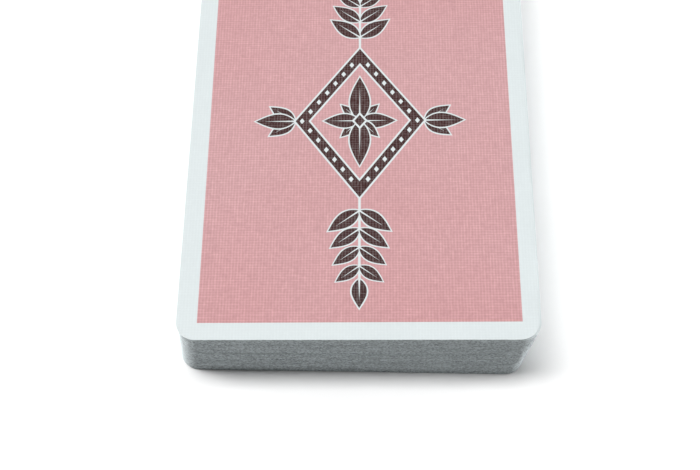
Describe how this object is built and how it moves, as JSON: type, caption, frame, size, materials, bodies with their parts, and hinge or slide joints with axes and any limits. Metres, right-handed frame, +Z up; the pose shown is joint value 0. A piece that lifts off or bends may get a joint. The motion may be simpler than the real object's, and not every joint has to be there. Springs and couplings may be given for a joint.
{
  "type": "playing card deck",
  "caption": "Squared pile of loose printed playing cards with round corners, lying face down; the cards fan about a corner, part as a cut packet and slide off the top.",
  "frame": {"origin": "middle of the pile's footprint, on the table", "axes": "+X across the cards' width, +Y along their length away from the viewer, +Z up out of the table"},
  "size_m": [0.0652, 0.0894, 0.0162],
  "materials": {
    "card_stock": "pasted card stock, linen embossed, printed and varnished"
  },
  "bodies": {
    "ace_of_spades": {"ace_of_spades": "card_stock"},
    "two_of_spades": {"two_of_spades": "card_stock"},
    "three_of_spades": {"three_of_spades": "card_stock"},
    "four_of_spades": {"four_of_spades": "card_stock"},
    "five_of_spades": {"five_of_spades": "card_stock"},
    "six_of_spades": {"six_of_spades": "card_stock"},
    "seven_of_spades": {"seven_of_spades": "card_stock"},
    "eight_of_spades": {"eight_of_spades": "card_stock"},
    "nine_of_spades": {"nine_of_spades": "card_stock"},
    "ten_of_spades": {"ten_of_spades": "card_stock"},
    "jack_of_spades": {"jack_of_spades": "card_stock"},
    "queen_of_spades": {"queen_of_spades": "card_stock"},
    "king_of_spades": {"king_of_spades": "card_stock"},
    "ace_of_diamonds": {"ace_of_diamonds": "card_stock"},
    "two_of_diamonds": {"two_of_diamonds": "card_stock"},
    "three_of_diamonds": {"three_of_diamonds": "card_stock"},
    "four_of_diamonds": {"four_of_diamonds": "card_stock"},
    "five_of_diamonds": {"five_of_diamonds": "card_stock"},
    "six_of_diamonds": {"six_of_diamonds": "card_stock"},
    "seven_of_diamonds": {"seven_of_diamonds": "card_stock"},
    "eight_of_diamonds": {"eight_of_diamonds": "card_stock"},
    "nine_of_diamonds": {"nine_of_diamonds": "card_stock"},
    "ten_of_diamonds": {"ten_of_diamonds": "card_stock"},
    "jack_of_diamonds": {"jack_of_diamonds": "card_stock"},
    "queen_of_diamonds": {"queen_of_diamonds": "card_stock"},
    "king_of_diamonds": {"king_of_diamonds": "card_stock"},
    "king_of_clubs": {"king_of_clubs": "card_stock"},
    "queen_of_clubs": {"queen_of_clubs": "card_stock"},
    "jack_of_clubs": {"jack_of_clubs": "card_stock"},
    "ten_of_clubs": {"ten_of_clubs": "card_stock"},
    "nine_of_clubs": {"nine_of_clubs": "card_stock"},
    "eight_of_clubs": {"eight_of_clubs": "card_stock"},
    "seven_of_clubs": {"seven_of_clubs": "card_stock"},
    "six_of_clubs": {"six_of_clubs": "card_stock"},
    "five_of_clubs": {"five_of_clubs": "card_stock"},
    "four_of_clubs": {"four_of_clubs": "card_stock"},
    "three_of_clubs": {"three_of_clubs": "card_stock"},
    "two_of_clubs": {"two_of_clubs": "card_stock"},
    "ace_of_clubs": {"ace_of_clubs": "card_stock"},
    "king_of_hearts": {"king_of_hearts": "card_stock"},
    "queen_of_hearts": {"queen_of_hearts": "card_stock"},
    "jack_of_hearts": {"jack_of_hearts": "card_stock"},
    "ten_of_hearts": {"ten_of_hearts": "card_stock"},
    "nine_of_hearts": {"nine_of_hearts": "card_stock"},
    "eight_of_hearts": {"eight_of_hearts": "card_stock"},
    "seven_of_hearts": {"seven_of_hearts": "card_stock"},
    "six_of_hearts": {"six_of_hearts": "card_stock"},
    "five_of_hearts": {"five_of_hearts": "card_stock"},
    "four_of_hearts": {"four_of_hearts": "card_stock"},
    "three_of_hearts": {"three_of_hearts": "card_stock"},
    "two_of_hearts": {"two_of_hearts": "card_stock"},
    "ace_of_hearts": {"ace_of_hearts": "card_stock"},
    "first_joker": {"first_joker": "card_stock"},
    "second_joker": {"second_joker": "card_stock"}
  },
  "joints": [
    {"name": "fan_two_of_spades", "type": "hinge", "parent": "ace_of_spades", "child": "two_of_spades", "pos_m": [-0.02825, -0.04095, 0], "axis": [0, 0, -1], "range_deg": [0, 3]},
    {"name": "fan_three_of_spades", "type": "hinge", "parent": "ace_of_spades", "child": "three_of_spades", "pos_m": [-0.02825, -0.04095, 0], "axis": [0, 0, -1], "range_deg": [0, 6]},
    {"name": "fan_four_of_spades", "type": "hinge", "parent": "ace_of_spades", "child": "four_of_spades", "pos_m": [-0.02825, -0.04095, 0], "axis": [0, 0, -1], "range_deg": [0, 9]},
    {"name": "fan_five_of_spades", "type": "hinge", "parent": "ace_of_spades", "child": "five_of_spades", "pos_m": [-0.02825, -0.04095, 0], "axis": [0, 0, -1], "range_deg": [0, 12]},
    {"name": "fan_six_of_spades", "type": "hinge", "parent": "ace_of_spades", "child": "six_of_spades", "pos_m": [-0.02825, -0.04095, 0], "axis": [0, 0, -1], "range_deg": [0, 15]},
    {"name": "fan_seven_of_spades", "type": "hinge", "parent": "ace_of_spades", "child": "seven_of_spades", "pos_m": [-0.02825, -0.04095, 0], "axis": [0, 0, -1], "range_deg": [0, 18]},
    {"name": "fan_eight_of_spades", "type": "hinge", "parent": "ace_of_spades", "child": "eight_of_spades", "pos_m": [-0.02825, -0.04095, 0], "axis": [0, 0, -1], "range_deg": [0, 21]},
    {"name": "fan_nine_of_spades", "type": "hinge", "parent": "ace_of_spades", "child": "nine_of_spades", "pos_m": [-0.02825, -0.04095, 0], "axis": [0, 0, -1], "range_deg": [0, 24]},
    {"name": "fan_ten_of_spades", "type": "hinge", "parent": "ace_of_spades", "child": "ten_of_spades", "pos_m": [-0.02825, -0.04095, 0], "axis": [0, 0, -1], "range_deg": [0, 27]},
    {"name": "fan_jack_of_spades", "type": "hinge", "parent": "ace_of_spades", "child": "jack_of_spades", "pos_m": [-0.02825, -0.04095, 0], "axis": [0, 0, -1], "range_deg": [0, 30]},
    {"name": "fan_queen_of_spades", "type": "hinge", "parent": "ace_of_spades", "child": "queen_of_spades", "pos_m": [-0.02825, -0.04095, 0], "axis": [0, 0, -1], "range_deg": [0, 33]},
    {"name": "fan_king_of_spades", "type": "hinge", "parent": "ace_of_spades", "child": "king_of_spades", "pos_m": [-0.02825, -0.04095, 0], "axis": [0, 0, -1], "range_deg": [0, 36]},
    {"name": "fan_ace_of_diamonds", "type": "hinge", "parent": "ace_of_spades", "child": "ace_of_diamonds", "pos_m": [-0.02825, -0.04095, 0], "axis": [0, 0, -1], "range_deg": [0, 39]},
    {"name": "fan_two_of_diamonds", "type": "hinge", "parent": "ace_of_spades", "child": "two_of_diamonds", "pos_m": [-0.02825, -0.04095, 0], "axis": [0, 0, -1], "range_deg": [0, 42]},
    {"name": "fan_three_of_diamonds", "type": "hinge", "parent": "ace_of_spades", "child": "three_of_diamonds", "pos_m": [-0.02825, -0.04095, 0], "axis": [0, 0, -1], "range_deg": [0, 45]},
    {"name": "fan_four_of_diamonds", "type": "hinge", "parent": "ace_of_spades", "child": "four_of_diamonds", "pos_m": [-0.02825, -0.04095, 0], "axis": [0, 0, -1], "range_deg": [0, 48]},
    {"name": "fan_five_of_diamonds", "type": "hinge", "parent": "ace_of_spades", "child": "five_of_diamonds", "pos_m": [-0.02825, -0.04095, 0], "axis": [0, 0, -1], "range_deg": [0, 51]},
    {"name": "fan_six_of_diamonds", "type": "hinge", "parent": "ace_of_spades", "child": "six_of_diamonds", "pos_m": [-0.02825, -0.04095, 0], "axis": [0, 0, -1], "range_deg": [0, 54]},
    {"name": "fan_seven_of_diamonds", "type": "hinge", "parent": "ace_of_spades", "child": "seven_of_diamonds", "pos_m": [-0.02825, -0.04095, 0], "axis": [0, 0, -1], "range_deg": [0, 57]},
    {"name": "fan_eight_of_diamonds", "type": "hinge", "parent": "ace_of_spades", "child": "eight_of_diamonds", "pos_m": [-0.02825, -0.04095, 0], "axis": [0, 0, -1], "range_deg": [0, 60]},
    {"name": "fan_nine_of_diamonds", "type": "hinge", "parent": "ace_of_spades", "child": "nine_of_diamonds", "pos_m": [-0.02825, -0.04095, 0], "axis": [0, 0, -1], "range_deg": [0, 63]},
    {"name": "fan_ten_of_diamonds", "type": "hinge", "parent": "ace_of_spades", "child": "ten_of_diamonds", "pos_m": [-0.02825, -0.04095, 0], "axis": [0, 0, -1], "range_deg": [0, 66]},
    {"name": "fan_jack_of_diamonds", "type": "hinge", "parent": "ace_of_spades", "child": "jack_of_diamonds", "pos_m": [-0.02825, -0.04095, 0], "axis": [0, 0, -1], "range_deg": [0, 69]},
    {"name": "fan_queen_of_diamonds", "type": "hinge", "parent": "ace_of_spades", "child": "queen_of_diamonds", "pos_m": [-0.02825, -0.04095, 0], "axis": [0, 0, -1], "range_deg": [0, 72]},
    {"name": "fan_king_of_diamonds", "type": "hinge", "parent": "ace_of_spades", "child": "king_of_diamonds", "pos_m": [-0.02825, -0.04095, 0], "axis": [0, 0, -1], "range_deg": [0, 75]},
    {"name": "cut", "type": "slide", "parent": "king_of_diamonds", "child": "king_of_clubs", "axis": [1, 0, 0], "range_m": [-0.03, 0.03]},
    {"name": "fan_queen_of_clubs", "type": "hinge", "parent": "king_of_clubs", "child": "queen_of_clubs", "pos_m": [-0.02825, -0.04095, 0], "axis": [0, 0, -1], "range_deg": [0, 3]},
    {"name": "fan_jack_of_clubs", "type": "hinge", "parent": "king_of_clubs", "child": "jack_of_clubs", "pos_m": [-0.02825, -0.04095, 0], "axis": [0, 0, -1], "range_deg": [0, 6]},
    {"name": "fan_ten_of_clubs", "type": "hinge", "parent": "king_of_clubs", "child": "ten_of_clubs", "pos_m": [-0.02825, -0.04095, 0], "axis": [0, 0, -1], "range_deg": [0, 9]},
    {"name": "fan_nine_of_clubs", "type": "hinge", "parent": "king_of_clubs", "child": "nine_of_clubs", "pos_m": [-0.02825, -0.04095, 0], "axis": [0, 0, -1], "range_deg": [0, 12]},
    {"name": "fan_eight_of_clubs", "type": "hinge", "parent": "king_of_clubs", "child": "eight_of_clubs", "pos_m": [-0.02825, -0.04095, 0], "axis": [0, 0, -1], "range_deg": [0, 15]},
    {"name": "fan_seven_of_clubs", "type": "hinge", "parent": "king_of_clubs", "child": "seven_of_clubs", "pos_m": [-0.02825, -0.04095, 0], "axis": [0, 0, -1], "range_deg": [0, 18]},
    {"name": "fan_six_of_clubs", "type": "hinge", "parent": "king_of_clubs", "child": "six_of_clubs", "pos_m": [-0.02825, -0.04095, 0], "axis": [0, 0, -1], "range_deg": [0, 21]},
    {"name": "fan_five_of_clubs", "type": "hinge", "parent": "king_of_clubs", "child": "five_of_clubs", "pos_m": [-0.02825, -0.04095, 0], "axis": [0, 0, -1], "range_deg": [0, 24]},
    {"name": "fan_four_of_clubs", "type": "hinge", "parent": "king_of_clubs", "child": "four_of_clubs", "pos_m": [-0.02825, -0.04095, 0], "axis": [0, 0, -1], "range_deg": [0, 27]},
    {"name": "fan_three_of_clubs", "type": "hinge", "parent": "king_of_clubs", "child": "three_of_clubs", "pos_m": [-0.02825, -0.04095, 0], "axis": [0, 0, -1], "range_deg": [0, 30]},
    {"name": "fan_two_of_clubs", "type": "hinge", "parent": "king_of_clubs", "child": "two_of_clubs", "pos_m": [-0.02825, -0.04095, 0], "axis": [0, 0, -1], "range_deg": [0, 33]},
    {"name": "fan_ace_of_clubs", "type": "hinge", "parent": "king_of_clubs", "child": "ace_of_clubs", "pos_m": [-0.02825, -0.04095, 0], "axis": [0, 0, -1], "range_deg": [0, 36]},
    {"name": "fan_king_of_hearts", "type": "hinge", "parent": "king_of_clubs", "child": "king_of_hearts", "pos_m": [-0.02825, -0.04095, 0], "axis": [0, 0, -1], "range_deg": [0, 39]},
    {"name": "fan_queen_of_hearts", "type": "hinge", "parent": "king_of_clubs", "child": "queen_of_hearts", "pos_m": [-0.02825, -0.04095, 0], "axis": [0, 0, -1], "range_deg": [0, 42]},
    {"name": "fan_jack_of_hearts", "type": "hinge", "parent": "king_of_clubs", "child": "jack_of_hearts", "pos_m": [-0.02825, -0.04095, 0], "axis": [0, 0, -1], "range_deg": [0, 45]},
    {"name": "fan_ten_of_hearts", "type": "hinge", "parent": "king_of_clubs", "child": "ten_of_hearts", "pos_m": [-0.02825, -0.04095, 0], "axis": [0, 0, -1], "range_deg": [0, 48]},
    {"name": "fan_nine_of_hearts", "type": "hinge", "parent": "king_of_clubs", "child": "nine_of_hearts", "pos_m": [-0.02825, -0.04095, 0], "axis": [0, 0, -1], "range_deg": [0, 51]},
    {"name": "fan_eight_of_hearts", "type": "hinge", "parent": "king_of_clubs", "child": "eight_of_hearts", "pos_m": [-0.02825, -0.04095, 0], "axis": [0, 0, -1], "range_deg": [0, 54]},
    {"name": "fan_seven_of_hearts", "type": "hinge", "parent": "king_of_clubs", "child": "seven_of_hearts", "pos_m": [-0.02825, -0.04095, 0], "axis": [0, 0, -1], "range_deg": [0, 57]},
    {"name": "fan_six_of_hearts", "type": "hinge", "parent": "king_of_clubs", "child": "six_of_hearts", "pos_m": [-0.02825, -0.04095, 0], "axis": [0, 0, -1], "range_deg": [0, 60]},
    {"name": "fan_five_of_hearts", "type": "hinge", "parent": "king_of_clubs", "child": "five_of_hearts", "pos_m": [-0.02825, -0.04095, 0], "axis": [0, 0, -1], "range_deg": [0, 63]},
    {"name": "fan_four_of_hearts", "type": "hinge", "parent": "king_of_clubs", "child": "four_of_hearts", "pos_m": [-0.02825, -0.04095, 0], "axis": [0, 0, -1], "range_deg": [0, 66]},
    {"name": "fan_three_of_hearts", "type": "hinge", "parent": "king_of_clubs", "child": "three_of_hearts", "pos_m": [-0.02825, -0.04095, 0], "axis": [0, 0, -1], "range_deg": [0, 69]},
    {"name": "fan_two_of_hearts", "type": "hinge", "parent": "king_of_clubs", "child": "two_of_hearts", "pos_m": [-0.02825, -0.04095, 0], "axis": [0, 0, -1], "range_deg": [0, 72]},
    {"name": "fan_ace_of_hearts", "type": "hinge", "parent": "king_of_clubs", "child": "ace_of_hearts", "pos_m": [-0.02825, -0.04095, 0], "axis": [0, 0, -1], "range_deg": [0, 75]},
    {"name": "fan", "type": "hinge", "parent": "king_of_clubs", "child": "first_joker", "pos_m": [-0.02825, -0.04095, 0], "axis": [0, 0, -1], "range_deg": [0, 78]},
    {"name": "deal", "type": "slide", "parent": "first_joker", "child": "second_joker", "axis": [0, -1, 0], "range_m": [0, 0.04]}
  ],
  "couplings": [
    {"joint": "fan_two_of_spades", "follows": "fan", "ratio": 0.038462},
    {"joint": "fan_three_of_spades", "follows": "fan", "ratio": 0.076923},
    {"joint": "fan_four_of_spades", "follows": "fan", "ratio": 0.11539},
    {"joint": "fan_five_of_spades", "follows": "fan", "ratio": 0.15385},
    {"joint": "fan_six_of_spades", "follows": "fan", "ratio": 0.19231},
    {"joint": "fan_seven_of_spades", "follows": "fan", "ratio": 0.23077},
    {"joint": "fan_eight_of_spades", "follows": "fan", "ratio": 0.26923},
    {"joint": "fan_nine_of_spades", "follows": "fan", "ratio": 0.30769},
    {"joint": "fan_ten_of_spades", "follows": "fan", "ratio": 0.34615},
    {"joint": "fan_jack_of_spades", "follows": "fan", "ratio": 0.38461},
    {"joint": "fan_queen_of_spades", "follows": "fan", "ratio": 0.42308},
    {"joint": "fan_king_of_spades", "follows": "fan", "ratio": 0.46154},
    {"joint": "fan_ace_of_diamonds", "follows": "fan", "ratio": 0.5},
    {"joint": "fan_two_of_diamonds", "follows": "fan", "ratio": 0.53846},
    {"joint": "fan_three_of_diamonds", "follows": "fan", "ratio": 0.57692},
    {"joint": "fan_four_of_diamonds", "follows": "fan", "ratio": 0.61538},
    {"joint": "fan_five_of_diamonds", "follows": "fan", "ratio": 0.65385},
    {"joint": "fan_six_of_diamonds", "follows": "fan", "ratio": 0.69231},
    {"joint": "fan_seven_of_diamonds", "follows": "fan", "ratio": 0.73077},
    {"joint": "fan_eight_of_diamonds", "follows": "fan", "ratio": 0.76923},
    {"joint": "fan_nine_of_diamonds", "follows": "fan", "ratio": 0.80769},
    {"joint": "fan_ten_of_diamonds", "follows": "fan", "ratio": 0.84615},
    {"joint": "fan_jack_of_diamonds", "follows": "fan", "ratio": 0.88462},
    {"joint": "fan_queen_of_diamonds", "follows": "fan", "ratio": 0.92308},
    {"joint": "fan_king_of_diamonds", "follows": "fan", "ratio": 0.96154},
    {"joint": "fan_queen_of_clubs", "follows": "fan", "ratio": 0.038462},
    {"joint": "fan_jack_of_clubs", "follows": "fan", "ratio": 0.076923},
    {"joint": "fan_ten_of_clubs", "follows": "fan", "ratio": 0.11539},
    {"joint": "fan_nine_of_clubs", "follows": "fan", "ratio": 0.15385},
    {"joint": "fan_eight_of_clubs", "follows": "fan", "ratio": 0.19231},
    {"joint": "fan_seven_of_clubs", "follows": "fan", "ratio": 0.23077},
    {"joint": "fan_six_of_clubs", "follows": "fan", "ratio": 0.26923},
    {"joint": "fan_five_of_clubs", "follows": "fan", "ratio": 0.30769},
    {"joint": "fan_four_of_clubs", "follows": "fan", "ratio": 0.34615},
    {"joint": "fan_three_of_clubs", "follows": "fan", "ratio": 0.38461},
    {"joint": "fan_two_of_clubs", "follows": "fan", "ratio": 0.42308},
    {"joint": "fan_ace_of_clubs", "follows": "fan", "ratio": 0.46154},
    {"joint": "fan_king_of_hearts", "follows": "fan", "ratio": 0.5},
    {"joint": "fan_queen_of_hearts", "follows": "fan", "ratio": 0.53846},
    {"joint": "fan_jack_of_hearts", "follows": "fan", "ratio": 0.57692},
    {"joint": "fan_ten_of_hearts", "follows": "fan", "ratio": 0.61538},
    {"joint": "fan_nine_of_hearts", "follows": "fan", "ratio": 0.65385},
    {"joint": "fan_eight_of_hearts", "follows": "fan", "ratio": 0.69231},
    {"joint": "fan_seven_of_hearts", "follows": "fan", "ratio": 0.73077},
    {"joint": "fan_six_of_hearts", "follows": "fan", "ratio": 0.76923},
    {"joint": "fan_five_of_hearts", "follows": "fan", "ratio": 0.80769},
    {"joint": "fan_four_of_hearts", "follows": "fan", "ratio": 0.84615},
    {"joint": "fan_three_of_hearts", "follows": "fan", "ratio": 0.88462},
    {"joint": "fan_two_of_hearts", "follows": "fan", "ratio": 0.92308},
    {"joint": "fan_ace_of_hearts", "follows": "fan", "ratio": 0.96154}
  ]
}
